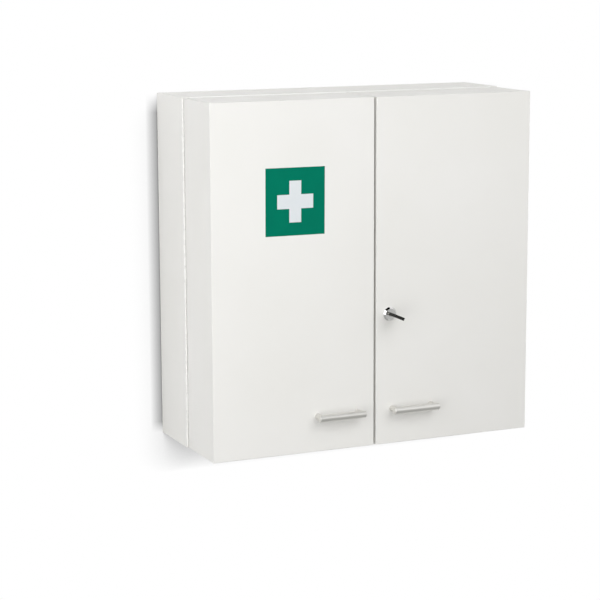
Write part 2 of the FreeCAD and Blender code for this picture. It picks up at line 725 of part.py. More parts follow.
def lock_plug():
    """The plug that the key turns, with its keyway in front and a square tang behind."""
    body = new_body("plug_body", LOCK_X, "-cabinet_depth", LOCK_Z)
    profile = new_sketch(body, "XY", "profile")
    head_back = "plug_head - lock_flange"
    draw_polygon(
        profile,
        [
            ("0", f"-{LOCK_FACE}"),
            ("plug_head_radius", f"-{LOCK_FACE}"),
            ("plug_head_radius", head_back),
            ("plug_radius", head_back),
            ("plug_radius", PLUG_END),
            ("0", PLUG_END),
        ],
    )
    turned(body, profile)
    half_tang = "tang_width / 2"
    tang = new_sketch(body, "XZ", "tang", f"-{PLUG_END}")
    draw_box(tang, f"-{half_tang}", half_tang, f"-{half_tang}", half_tang)
    pad(body, tang, "cam_thickness - tang_gap", reverse=True)
    screw_bore = new_sketch(body, "XZ", "screw_bore", f"-({PLUG_END} + cam_thickness)")
    draw_ring(screw_bore, "0", "0", "cam_screw_radius + cam_screw_play", BOLT_SIDES, bore=True)
    pocket(body, screw_bore, "cam_thickness + cam_screw_bite + cam_screw_end_gap", reverse=True)
    keyway = new_sketch(body, "XZ", "keyway", LOCK_FACE)
    keyway.AttachmentOffset = Placement(Vector(), Rotation(Vector(0, 0, 1), -SIZES["key_tilt"]))
    half_width, half_height = "blade_width / 2 + keyway_play", "blade_thickness / 2 + keyway_play"
    draw_box(keyway, f"-({half_width})", half_width, f"-({half_height})", half_height)
    body.Tip = pocket(body, keyway, "key_inside + keyway_end_gap")
    node(body, "lock_plug")


def lock_cam():
    """The hooked cam on the plug's tang, hanging down when unlocked, and the screw that holds it."""
    body = new_body("cam_body", LOCK_X, CAM_Y, LOCK_Z)
    half = "cam_arm_width / 2"
    arm = new_sketch(body, "XZ", "arm")
    draw_polygon(
        arm,
        [
            (half, "0"),
            (f"-({half})", "0"),
            (f"-({half})", f"-{HOOK_NEAR}"),
            (f"-({half} + hook_height)", f"-{HOOK_NEAR}"),
            (f"-({half} + hook_height)", f"-{CAM_REACH}"),
            (half, f"-{CAM_REACH}"),
        ],
    )
    pad(body, arm, "cam_thickness", reverse=True)
    hub = new_sketch(body, "XZ", "hub")
    draw_circle(hub, "0", "0", "cam_hub_radius")
    pad(body, hub, "cam_thickness", reverse=True)
    square = new_sketch(body, "XZ", "square")
    half_tang = "tang_width / 2"
    draw_box(square, f"-({half_tang})", half_tang, f"-({half_tang})", half_tang)
    body.Tip = pocket(body, square, "cam_thickness + overrun")
    node(body, "lock_cam")
    back = f"{CAM_Y} + cam_thickness"
    shank_start = (LOCK_X, f"{back} - cam_thickness - cam_screw_bite", LOCK_Z)
    length = "cam_thickness + cam_screw_bite"
    shank = prism("cam_screw_shank", "y", shank_start, "cam_screw_radius", length, BOLT_SIDES)
    head = rod("cam_screw_top", "y", (LOCK_X, back, LOCK_Z), "cam_screw_head_radius", "cam_screw_head")
    screw = doc.addObject("Part::Fuse", "cam_screw_fuse")
    screw.Base = head
    screw.Tool = shank
    node(screw, "cam_screw")


def key():
    """The key in the lock: a cut blade and the moulded head round its end."""
    tilt = Rotation(Vector(0, 1, 0), SIZES["key_tilt"])
    body = new_body("blade_body", LOCK_X, "-cabinet_depth", LOCK_Z, tilt)
    half = "blade_width / 2"
    tip = f"(key_inside - {LOCK_FACE})"
    tail = f"-({LOCK_FACE} + key_neck + blade_in_head)"
    corners = [
        (half, tail),
        (half, f"{tip} - blade_point"),
        (f"{half} - blade_point", tip),
        (f"blade_point - {half}", tip),
    ]
    for place, depth in zip(BITTING_PLACE_SHARES, BITTING_DEPTH_SHARES):
        for shift, share in ((0.5, 0), (0, depth), (-0.5, 0)):
            along = f"{tip} - key_inside * ({place} - {shift} * {BITTING_WIDTH_SHARE})"
            corners.append((f"blade_width * {share} - {half}", along))
    corners.append((f"-({half})", tail))
    blade = new_sketch(body, "XY", "blade")
    draw_polygon(blade, corners)
    pad(body, blade, "blade_thickness", both=True)
    node(body, "key_blade")

    body = new_body("head_body", LOCK_X, "-cabinet_depth", LOCK_Z, tilt)
    near = f"({LOCK_FACE} + key_neck)"
    half = "key_head_width / 2"
    outline = new_sketch(body, "XY", "outline")
    draw_box(outline, f"-({half})", half, f"-({near} + key_head_length)", f"-{near}")
    grip = pad(body, outline, "key_head_thickness", both=True)
    soften(body, grip, "Fillet", "key_head_round", lambda edge: edge.BoundBox.ZLength > edge.Length / 2)
    socket = new_sketch(body, "XZ", "socket", near)
    half_width, half_height = "blade_width / 2", "blade_thickness / 2"
    draw_box(socket, f"-({half_width})", half_width, f"-({half_height})", half_height)
    pocket(body, socket, "blade_in_head", reverse=True)
    ring = new_sketch(body, "XY", "ring", "-key_head_thickness")
    draw_circle(ring, "0", f"key_ring_inset - {near} - key_head_length", "key_ring_radius")
    body.Tip = pocket(body, ring, "2 * key_head_thickness", reverse=True)
    node(body, "key_head")


def write_parts():
    """Check every object and write each sub-part to its own file."""
    doc.recompute()
    failed = [item.Name for item in doc.Objects if {"Invalid", "Error"} & set(item.State)]
    failed += [item.Label for item in nodes if item.Shape.isNull() or not item.Shape.isValid()]
    if failed:
        raise RuntimeError(f"these objects did not build: {failed}")
    os.makedirs("parts", exist_ok=True)
    for item in nodes:
        item.Shape.exportStep(f"parts/{item.Label}.step")
    print(f"{len(nodes)} sub-parts written")


fill_sheet()
carcass()
hinges()
magnetic_catch()
slot = cam_slot()
for hand, side in HANDS.items():
    door_front(hand, side)
    door_frame(hand, side, slot)
    handle(hand, side)
strike_plate(slot)
lock_housing()
lock_plug()
lock_cam()
key()
write_parts()
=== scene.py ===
"""Looks of a wall medicine cabinet: finishes for the solids, the sign, the small screws and the studio.

Everything stands in the frame of the solids, in metres: X to the right, Y into the wall and Z up, with
the origin on the wall between the two wall screws. Sizes that a maker would read off a drawing are in
millimetres.
"""

import json
import logging
import math
from dataclasses import dataclass
from enum import Enum

import bmesh
import bpy
from mathutils import Matrix, Vector

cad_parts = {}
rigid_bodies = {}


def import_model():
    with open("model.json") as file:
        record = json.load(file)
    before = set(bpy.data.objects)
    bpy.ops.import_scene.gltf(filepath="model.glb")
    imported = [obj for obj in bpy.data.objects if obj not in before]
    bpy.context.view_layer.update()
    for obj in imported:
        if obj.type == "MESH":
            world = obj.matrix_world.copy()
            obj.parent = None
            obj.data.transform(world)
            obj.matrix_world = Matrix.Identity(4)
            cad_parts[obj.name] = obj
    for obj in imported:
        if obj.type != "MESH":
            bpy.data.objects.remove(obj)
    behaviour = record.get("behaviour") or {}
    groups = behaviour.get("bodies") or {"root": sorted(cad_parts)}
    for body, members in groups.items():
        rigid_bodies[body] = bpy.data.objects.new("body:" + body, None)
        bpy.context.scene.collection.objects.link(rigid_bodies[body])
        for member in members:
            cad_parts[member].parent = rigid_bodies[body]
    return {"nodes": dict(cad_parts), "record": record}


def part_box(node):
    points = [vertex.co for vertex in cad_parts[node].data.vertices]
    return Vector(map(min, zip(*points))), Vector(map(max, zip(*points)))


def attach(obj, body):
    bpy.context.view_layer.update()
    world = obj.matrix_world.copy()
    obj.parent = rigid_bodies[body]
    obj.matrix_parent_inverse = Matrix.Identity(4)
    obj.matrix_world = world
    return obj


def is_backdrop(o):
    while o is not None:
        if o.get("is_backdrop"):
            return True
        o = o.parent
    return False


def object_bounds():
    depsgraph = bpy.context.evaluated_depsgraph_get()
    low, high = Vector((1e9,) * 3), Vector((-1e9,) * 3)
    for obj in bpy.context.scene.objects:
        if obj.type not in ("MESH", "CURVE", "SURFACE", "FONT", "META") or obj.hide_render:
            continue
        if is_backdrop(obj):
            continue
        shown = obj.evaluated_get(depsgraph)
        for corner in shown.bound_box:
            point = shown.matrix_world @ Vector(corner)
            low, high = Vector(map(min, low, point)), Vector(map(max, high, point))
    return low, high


for leftover in list(bpy.data.objects):
    bpy.data.objects.remove(leftover)
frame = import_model()

MM = 0.001
HANDS = {"left": -1, "right": 1}
LEAST_ROUGHNESS = 0.02
# A noise lies mostly between these two values, which are stretched to the ends of a range
NOISE_LOW = 0.3
NOISE_HIGH = 0.7
# How many finer layers the noise has for each use, and how much finer the gloss varies than the tone
TONE_LAYERS = 3.0
GLOSS_LAYERS = 4.0
SPECKLE_LAYERS = 4.0
GRAIN_LAYERS = 2.0
GLOSS_FINER = 3
# The Mix node's sockets share their names, so they go by number, for colours and for plain values
MIX_SHARE = 0
COLOUR_FROM = 6
COLOUR_TO = 7
COLOUR_OUT = 2
VALUE_FROM = 2
VALUE_TO = 3
VALUE_OUT = 0

Tree = bpy.types.NodeTree
Socket = bpy.types.NodeSocket
Extent = tuple[float, float]
Point = tuple[float, float, float]
log = logging.getLogger("cabinet")


def linear(code: str) -> tuple[float, float, float, float]:
    """Turn an sRGB hex colour into linear light.

    Args:
        code: six hex digits after a hash.

    Returns:
        Red, green, blue and a full alpha, in linear light.
    """
    parts = [int(code[start:start + 2], 16) / 255 for start in (1, 3, 5)]
    light = [part / 12.92 if part <= 0.04045 else ((part + 0.055) / 1.055) ** 2.4 for part in parts]
    return (light[0], light[1], light[2], 1.0)


def add_node(tree: Tree, kind: str, feeds: dict | None = None, **settings: object) -> bpy.types.Node:
    """Add a shader node, set it and link it.

    Args:
        tree: the node tree to add to.
        kind: the node's type name.
        feeds: input name or number to a value, or to an output socket to link from.
        settings: the node's own properties.

    Returns:
        The new node.
    """
    node = tree.nodes.new(kind)
    for name, value in settings.items():
        setattr(node, name, value)
    for name, value in (feeds or {}).items():
        if isinstance(value, Socket):
            tree.links.new(value, node.inputs[name])
        else:
            node.inputs[name].default_value = value
    return node


def blank(name: str) -> tuple[bpy.types.Material, Tree]:
    """Return a new material and its empty node tree."""
    made = bpy.data.materials.new(name)
    made.use_nodes = True
    made.node_tree.nodes.clear()
    return made, made.node_tree


class Streak(Enum):
    """Which way a finish is streaked, as how finely its pattern repeats along X, Y and Z."""

    EVEN = (1.0, 1.0, 1.0)
    ALONG_X = (0.03, 1.0, 1.0)


@dataclass(frozen=True)
class Finish:
    """A finish with a drifting colour, an uneven gloss and a fine relief.

    The pattern sizes are millimetres on the real surface.
    """

    name: str
    colour: str
    shade: str
    roughness: float
    mottle_mm: float
    grain_mm: float
    relief_mm: float
    metallic: float = 0.0
    ior: float = 1.5
    gloss_swing: float = 0.05
    specular: float = 0.5
    coat: float = 0.0
    streak: Streak = Streak.EVEN

    def noise(self, tree: Tree, size_mm: float, detail: float) -> Socket:
        """Return a noise with blotches of a given size.

        Args:
            tree: the material's node tree.
            size_mm: the size of a blotch on the real surface.
            detail: how many finer layers it has.

        Returns:
            The noise's value, from 0 to 1.
        """
        place = add_node(tree, "ShaderNodeTexCoord").outputs["Object"]
        repeat = [part / (size_mm * MM) for part in self.streak.value]
        mapped = add_node(tree, "ShaderNodeMapping", {"Vector": place, "Scale": repeat}).outputs["Vector"]
        feeds = {"Vector": mapped, "Scale": 1.0, "Detail": detail}
        return add_node(tree, "ShaderNodeTexNoise", feeds).outputs["Fac"]

    def spread(self, tree: Tree, value: Socket, low: float, high: float) -> Socket:
        """Return a noise's middle stretched out between two values."""
        feeds = {
            "Value": value,
            "From Min": NOISE_LOW,
            "From Max": NOISE_HIGH,
            "To Min": low,
            "To Max": high,
        }
        return add_node(tree, "ShaderNodeMapRange", feeds).outputs["Result"]

    def tone(self, tree: Tree) -> Socket:
        """Return the colour, drifting between the finish's two tones."""
        drift = self.spread(tree, self.noise(tree, self.mottle_mm, TONE_LAYERS), 0.0, 1.0)
        feeds = {MIX_SHARE: drift, COLOUR_FROM: linear(self.colour), COLOUR_TO: linear(self.shade)}
        return add_node(tree, "ShaderNodeMix", feeds, data_type="RGBA").outputs[COLOUR_OUT]

    def gloss(self, tree: Tree) -> Socket:
        """Return the roughness, swinging a little about its mean."""
        low = max(self.roughness - self.gloss_swing, LEAST_ROUGHNESS)
        smears = self.noise(tree, self.mottle_mm / GLOSS_FINER, GLOSS_LAYERS)
        return self.spread(tree, smears, low, self.roughness + self.gloss_swing)

    def relief(self, tree: Tree) -> Socket:
        """Return the normal of the fine relief."""
        grain = self.noise(tree, self.grain_mm, GRAIN_LAYERS)
        feeds = {"Height": grain, "Distance": self.relief_mm * MM, "Strength": 1.0}
        return add_node(tree, "ShaderNodeBump", feeds).outputs["Normal"]

    def shader(self, tree: Tree) -> bpy.types.Node:
        """Return the finish's shader with its colour, gloss and relief linked."""
        feeds = {
            "Base Color": self.tone(tree),
            "Roughness": self.gloss(tree),
            "Normal": self.relief(tree),
            "Metallic": self.metallic,
            "Specular IOR Level": self.specular,
            "Coat Weight": self.coat,
        }
        if not self.metallic:
            feeds["IOR"] = self.ior
        return add_node(tree, "ShaderNodeBsdfPrincipled", feeds)

    def material(self) -> bpy.types.Material:
        """Return the finish as a material, made once."""
        made = bpy.data.materials.get(self.name)
        if made:
            return made
        made, tree = blank(self.name)
        add_node(tree, "ShaderNodeOutputMaterial", {"Surface": self.shader(tree).outputs["BSDF"]})
        return made


@dataclass(frozen=True)
class Hardboard(Finish):
    """Thin fibreboard, lacquered white on its inner face and left raw brown on the face to the wall."""

    raw: str = "#8A6A4A"
    raw_shade: str = "#6E5238"
    white_face_mm: float = -1.5

    def tone(self, tree: Tree) -> Socket:
        """Return white in front of the middle of the sheet and speckled brown behind it."""
        white = super().tone(tree)
        speckle = self.spread(tree, self.noise(tree, self.grain_mm, SPECKLE_LAYERS), 0.0, 1.0)
        feeds = {MIX_SHARE: speckle, COLOUR_FROM: linear(self.raw), COLOUR_TO: linear(self.raw_shade)}
        brown = add_node(tree, "ShaderNodeMix", feeds, data_type="RGBA").outputs[COLOUR_OUT]
        place = add_node(tree, "ShaderNodeTexCoord").outputs["Object"]
        depth = add_node(tree, "ShaderNodeSeparateXYZ", {"Vector": place}).outputs["Y"]
        feeds = {0: depth, 1: self.white_face_mm * MM}
        behind = add_node(tree, "ShaderNodeMath", feeds, operation="GREATER_THAN").outputs["Value"]
        feeds = {MIX_SHARE: behind, COLOUR_FROM: white, COLOUR_TO: brown}
        return add_node(tree, "ShaderNodeMix", feeds, data_type="RGBA").outputs[COLOUR_OUT]


@dataclass(frozen=True)
class Spangle(Finish):
    """Zinc plating, whose crystals show as small flakes that differ a little in tone."""

    flake_mm: float = 0.9

    def tone(self, tree: Tree) -> Socket:
        """Return a grey that changes from flake to flake."""
        place = add_node(tree, "ShaderNodeTexCoord").outputs["Object"]
        feeds = {"Vector": place, "Scale": 1.0 / (self.flake_mm * MM)}
        flake = add_node(tree, "ShaderNodeTexVoronoi", feeds).outputs["Color"]
        pick = add_node(tree, "ShaderNodeSeparateColor", {"Color": flake}).outputs["Red"]
        feeds = {MIX_SHARE: pick, COLOUR_FROM: linear(self.colour), COLOUR_TO: linear(self.shade)}
        return add_node(tree, "ShaderNodeMix", feeds, data_type="RGBA").outputs[COLOUR_OUT]


@dataclass(frozen=True)
class ClearSilicone(Finish):
    """Clear silicone rubber, cast in a mould: light goes through it and is scattered a little."""

    see_through: float = 0.75

    def shader(self, tree: Tree) -> bpy.types.Node:
        """Return the shader with most of its body see-through."""
        made = super().shader(tree)
        made.inputs["Transmission Weight"].default_value = self.see_through
        return made


# Melamine-faced board, pressed satin: an even warm white with a soft sheen and a faint orange peel
BOARD = Finish("melamine_white", "#F1F0ED", "#EEEDE9", 0.48, 180.0, 1.6, 0.012, specular=0.3)
# ABS edging, extruded and glued on: slightly glossier than the faces of the boards, and a purer white
# that is partly a painted highlight along the front edges
EDGING_WITH_HIGHLIGHT = Finish("abs_edging_painted_highlight", "#FDFDFC", "#FAFAF8", 0.36, 60.0, 1.0, 0.004, ior=1.53)
# White lacquer over rolled steel: smoother than the boards, and a little brighter, which is partly a
# painted highlight on the hinge's bead
HINGE_PAINT_AND_HIGHLIGHT = Finish(
    "lacquered_steel_painted_highlight", "#FCFBF9", "#F8F7F4", 0.28, 40.0, 0.8, 0.006, specular=0.7, coat=0.6
)
# Hardboard with a lacquered face: the raw side is coarse, brown and dull
BACK = Hardboard("hardboard", "#EFEEEA", "#EBEAE6", 0.55, 90.0, 1.1, 0.03)
# Beech, turned into dowels: fine pale streaks along the dowel
BEECH = Finish("beech", "#C9A277", "#B58B5E", 0.6, 6.0, 0.6, 0.04, streak=Streak.ALONG_X)
# Satin nickel on a drawn bar: long fine scratches spread the highlight across the bar. They are drawn
# coarser than real ones, so that they show
NICKEL = Finish(
    "satin_nickel", "#E9E8E4", "#DDDCD8", 0.36, 5.0, 0.35, 0.004, metallic=1.0, streak=Streak.ALONG_X
)
# Zinc plated steel, stamped: cool grey with a patchy crystal bloom, whose flakes are drawn larger than
# real ones, so that they show
ZINC = Spangle("zinc_plate", "#B9BDC0", "#A4A9AD", 0.36, 4.0, 0.5, 0.004, metallic=1.0, gloss_swing=0.08)
# Polished chrome: mirror-bright, with the faint smears of use
CHROME = Finish(
    "polished_chrome", "#E4E4E4", "#DEDEDE", 0.09, 9.0, 2.0, 0.0008, metallic=1.0, gloss_swing=0.04
)
# Nickel plated key steel, stamped: bright, with a fine even grain
KEY_STEEL = Finish("key_nickel", "#C4C2BB", "#B5B3AB", 0.24, 3.0, 0.3, 0.003, metallic=1.0)
# ABS, moulded with a fine spark texture: black with a dull sheen
KEY_PLASTIC = Finish("moulded_black", "#151414", "#1B1A19", 0.5, 8.0, 0.35, 0.02, ior=1.53, specular=0.3)
# ABS, moulded smooth: white with a soft gloss
CATCH_PLASTIC = Finish("moulded_white", "#F2F2F0", "#ECECEA", 0.35, 14.0, 0.5, 0.01, ior=1.53)
# Ferrite, sintered and ground: dark grey with a fine grain
FERRITE = Finish("ferrite", "#3A3A3C", "#2E2E30", 0.55, 3.0, 0.4, 0.01)
# Printed vinyl film: deep even ink with hardly any sheen
GREEN_FILM = Finish("green_vinyl", "#01785F", "#02745C", 0.5, 30.0, 1.2, 0.006, specular=0.03)
# The same vinyl film left unprinted: an even, slightly cool white
WHITE_FILM = Finish("white_vinyl", "#E2E7EA", "#DFE4E7", 0.5, 30.0, 1.2, 0.006, specular=0.2)
# Silicone rubber, cast in a mould: clear and softly glossy, with what lies behind it showing through
SILICONE = ClearSilicone("clear_silicone", "#F4F6F6", "#EEF1F1", 0.22, 6.0, 0.8, 0.004, ior=1.41)

FINISHES = {
    "board": BOARD,
    "back_board": BACK,
    "dowel_wood": BEECH,
    "hinge_paint": HINGE_PAINT_AND_HIGHLIGHT,
    "handle_metal": NICKEL,
    "zinc_steel": ZINC,
    "lock_chrome": CHROME,
    "key_steel": KEY_STEEL,
    "key_plastic": KEY_PLASTIC,
    "catch_plastic": CATCH_PLASTIC,
    "magnet": FERRITE,
}


def piece(name: str, mesh: bmesh.types.BMesh, finishes: list[Finish], body: str) -> None:
    """Turn a mesh into a piece of the cabinet that rides on one of its bodies.

    Args:
        name: the piece's name.
        mesh: its shape in the frame of the solids; it is used up.
        finishes: one finish for each material number in the mesh.
        body: the body that it moves with.
    """
    data = bpy.data.meshes.new(name)
    mesh.to_mesh(data)
    mesh.free()
    for finish in finishes:
        data.materials.append(finish.material())
    thing = bpy.data.objects.new(name, data)
    bpy.context.scene.collection.objects.link(thing)
    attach(thing, body)
    log.info("piece %s on %s", name, body)


def ring(mesh: bmesh.types.BMesh, radius: float, height: float, steps: int) -> list[bmesh.types.BMVert]:
    """Return a ring of points about Z, at a radius and height in millimetres."""
    angles = [2 * math.pi * step / steps for step in range(steps)]
    spots = [(radius * math.cos(angle), radius * math.sin(angle), height) for angle in angles]
    return [mesh.verts.new(Vector(spot) * MM) for spot in spots]


def join(mesh: bmesh.types.BMesh, low: list[bmesh.types.BMVert], high: list[bmesh.types.BMVert]) -> None:
    """Join two closed outlines that have as many points by a band of faces."""
    for step in range(len(low)):
        after = (step + 1) % len(low)
        mesh.faces.new((low[step], low[after], high[after], high[step]))


def facing(axis: Vector, turn_degrees: float = 0.0) -> Matrix:
    """Return the turn that points +Z along an axis, after a spin about +Z."""
    spin = Matrix.Rotation(math.radians(turn_degrees), 4, "Z")
    return axis.to_track_quat("Z", "Y").to_matrix().to_4x4() @ spin


@dataclass
class Solids:
    """The solids of the cabinet, which get their finishes and softly broken edges."""

    board_edge_mm: float = 0.45
    key_edge_mm: float = 0.6
    edge_steps: int = 2
    sharp_degrees: float = 40.0
    join_mm: float = 0.01

    def edge(self, name: str, slot: str) -> float:
        """Return how far a solid's sharp edges are broken, in millimetres, or 0 to leave them."""
        if slot == "key_plastic":
            return self.key_edge_mm
        if slot == "board" and not name.endswith("front"):
            return self.board_edge_mm
        return 0.0

    def soften(self, node: bpy.types.Object, edge_mm: float) -> None:
        """Break the sharp edges of a solid, as a router does before lacquering."""
        weld = node.modifiers.new("weld", "WELD")
        weld.merge_threshold = self.join_mm * MM
        bevel = node.modifiers.new("edges", "BEVEL")
        bevel.width = edge_mm * MM
        bevel.segments = self.edge_steps
        bevel.limit_method = "ANGLE"
        bevel.angle_limit = math.radians(self.sharp_degrees)
        bevel.harden_normals = True

    def build(self) -> None:
        """Dress every solid by its slot in the record."""
        for part in frame["record"]["subparts"]:
            node = frame["nodes"][part["node"]]
            finish = FINISHES[part["material_slot"]]
            for holder in node.material_slots:
                holder.material = finish.material()
            edge_mm = self.edge(part["node"], part["material_slot"])
            if edge_mm:
                self.soften(node, edge_mm)
            log.info("solid %s in %s", part["node"], finish.name)


@dataclass
class EdgeBands:
    """The edging on the front edges of the carcass's level boards."""

    boards: tuple[str, ...] = ("carcass_top", "carcass_bottom", "upper_shelf", "lower_shelf")
    thick_mm: float = 0.6
    round_mm: float = 0.5
    round_steps: int = 3
    round_profile: float = 0.5

    def build(self) -> None:
        """Lay a strip with rounded front edges along the front of each board."""
        for board in self.boards:
            low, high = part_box(board)
            front = low.y - self.thick_mm * MM
            mesh = bmesh.new()
            spots = [(low.y, low.z), (front, low.z), (front, high.z), (low.y, high.z)]
            ends = [[mesh.verts.new((x, y, z)) for y, z in spots] for x in (low.x, high.x)]
            mesh.faces.new(ends[0])
            mesh.faces.new(list(reversed(ends[1])))
            join(mesh, ends[0], ends[1])
            bmesh.ops.recalc_face_normals(mesh, faces=mesh.faces[:])
            long_edges = [mesh.edges.get((ends[0][step], ends[1][step])) for step in (1, 2)]
            bmesh.ops.bevel(
                mesh,
                geom=long_edges,
                offset=self.round_mm * MM,
                segments=self.round_steps,
                profile=self.round_profile,
                affect="EDGES",
            )
            # The strip's whiter tone is partly a painted highlight along the board's front edge
            piece(f"{board}_edging", mesh, [EDGING_WITH_HIGHLIGHT], "carcass")


@dataclass
class Sign:
    """The first-aid sign on the left door: green printed vinyl film with a white cross."""

    width_mm: float = 94.5
    height_mm: float = 100.0
    cross_width_mm: float = 57.3
    cross_height_mm: float = 61.4
    upright_mm: float = 18.9
    crossbar_mm: float = 20.8
    film_mm: float = 0.18
    tilt_degrees: float = 0.4
    centre_x_mm: float = -130.3
    centre_z_mm: float = -107.2

    def build(self) -> None:
        """Lay the film on the door, with the cross as faces of their own in its front."""
        across = [-self.width_mm, -self.cross_width_mm, -self.upright_mm]
        upward = [-self.height_mm, -self.cross_height_mm, -self.crossbar_mm]
        columns = [side / 2 * MM for side in across + [-value for value in reversed(across)]]
        rows = [side / 2 * MM for side in upward + [-value for value in reversed(upward)]]
        mesh = bmesh.new()
        points = [[mesh.verts.new((x, 0, z)) for x in columns] for z in rows]
        # The film has five strips each way: the arms take the inner three and cross on the middle one
        middle = 2
        inner = (1, 2, 3)
        for row in range(len(rows) - 1):
            for column in range(len(columns) - 1):
                around = [points[row][column], points[row][column + 1]]
                around += [points[row + 1][column + 1], points[row + 1][column]]
                face = mesh.faces.new(around)
                on_upright = column == middle and row in inner
                on_bar = row == middle and column in inner
                face.material_index = 1 if on_upright or on_bar else 0
        thick = bmesh.ops.extrude_face_region(mesh, geom=mesh.faces[:])
        moved = [part for part in thick["geom"] if isinstance(part, bmesh.types.BMVert)]
        bmesh.ops.translate(mesh, verts=moved, vec=(0, -self.film_mm * MM, 0))
        bmesh.ops.recalc_face_normals(mesh, faces=mesh.faces[:])
        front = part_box("left_door_front")[0].y
        place = Matrix.Translation((self.centre_x_mm * MM, front, self.centre_z_mm * MM))
        turn = Matrix.Rotation(math.radians(self.tilt_degrees), 4, "Y")
        bmesh.ops.transform(mesh, matrix=place @ turn, verts=mesh.verts[:])
        piece("first_aid_sign", mesh, [GREEN_FILM, WHITE_FILM], "left_door")


@dataclass(frozen=True)
class CrossScrew:
    """A small screw head with a cross recess, drawn about +Z with its seat at zero."""

    radius_mm: float
    proud_mm: float
    edge_mm: float
    recess_mm: float
    finish: Finish
    slot: str
    arm_share: float = 0.62
    slit_share: float = 0.17
    steps: int = 24

    def cross(self, mesh: bmesh.types.BMesh, height: float) -> list[bmesh.types.BMVert]:
        """Return the outline of the recess at a height in millimetres."""
        arm, slit = self.radius_mm * self.arm_share, self.radius_mm * self.slit_share
        arms = [(arm, -slit), (arm, slit), (slit, slit)]
        spots = []
        for quarter in range(4):
            turn = Matrix.Rotation(quarter * math.pi / 2, 2)
            spots += [turn @ Vector(spot) for spot in arms]
        return [mesh.verts.new(Vector((spot.x, spot.y, height)) * MM) for spot in spots]

    def build(self, mesh: bmesh.types.BMesh, place: Matrix) -> None:
        """Add one head to a mesh.

        Args:
            mesh: the mesh that collects the heads.
            place: where the head's seat is and which way it faces.
        """
        head = bmesh.new()
        seat = ring(head, self.radius_mm, 0.0, self.steps)
        lower = self.proud_mm - min(self.edge_mm, self.proud_mm / 2)
        shoulder = ring(head, self.radius_mm, lower, self.steps)
        rim = ring(head, self.radius_mm - self.edge_mm, self.proud_mm, self.steps)
        mouth = self.cross(head, self.proud_mm)
        floor = self.cross(head, self.proud_mm - self.recess_mm)
        join(head, seat, shoulder)
        join(head, shoulder, rim)
        join(head, floor, mouth)
        head.faces.new(floor)
        head.faces.new(list(reversed(seat)))
        loops = []
        for outline in (rim, mouth):
            for step, point in enumerate(outline):
                pair = (point, outline[(step + 1) % len(outline)])
                loops.append(head.edges.get(pair) or head.edges.new(pair))
        bmesh.ops.triangle_fill(head, use_beauty=True, use_dissolve=False, edges=loops)
        bmesh.ops.recalc_face_normals(head, faces=head.faces[:])
        bmesh.ops.transform(head, matrix=place, verts=head.verts[:])
        data = bpy.data.meshes.new("screw_head")
        head.to_mesh(data)
        head.free()
        mesh.from_mesh(data)
        bpy.data.meshes.remove(data)

    def group(self, name: str, body: str, axis: Vector, spots: list[tuple[Vector, float]]) -> None:
        """Add the screws of one fitting as a piece.

        Args:
            name: the piece's name.
            body: the body that it moves with.
            axis: which way the heads face.
            spots: each head's seat, with the spin of its cross in degrees.
        """
        mesh = bmesh.new()
        for seat, spin in spots:
            self.build(mesh, Matrix.Translation(seat) @ facing(axis, spin))
        piece(name, mesh, [self.finish], body)


@dataclass
class HingeScrews:
    """The countersunk screws that hold the leaves of the piano hinges to the boards."""

    count: int = 7
    end_mm: float = 26.0
    edge_mm: float = 4.25
    leaf_mm: float = 0.7
    head: CrossScrew = CrossScrew(2.4, 0.1, 0.08, 0.08, HINGE_PAINT_AND_HIGHLIGHT, "hinge_paint")
    spin_degrees: float = 37.0

    def row(self, leaf: str, body: str, side: int, seat: float, sense: int) -> None:
        """Set a row of screws into one leaf, with their heads all but flush in its face.

        Args:
            leaf: the leaf's name.
            body: the body that it moves with.
            side: 1 on the right of the cabinet and -1 on the left.
            seat: where the board's face under the leaf lies along Y.
            sense: which way along Y the heads face.
        """
        low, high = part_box(leaf)
        inner = low.x if side > 0 else high.x
        x, y = inner + side * self.edge_mm * MM, seat + sense * self.leaf_mm * MM
        bottom, top = low.z + self.end_mm * MM, high.z - self.end_mm * MM
        spots = []
        for step in range(self.count):
            z = bottom + (top - bottom) * step / (self.count - 1)
            spots.append((Vector((x, y, z)), self.spin_degrees * step))
        self.head.group(f"{leaf}_screws", body, Vector((0, sense, 0)), spots)

    def build(self) -> None:
        """Set the screws of all four leaves."""
        for hand, side in HANDS.items():
            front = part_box(f"carcass_{hand}_side")[0].y
            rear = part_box(f"{hand}_door_outer_side")[1].y
            self.row(f"{hand}_carcass_leaf", "carcass", side, front, -1)
            self.row(f"{hand}_door_leaf", f"{hand}_door", side, rear, 1)


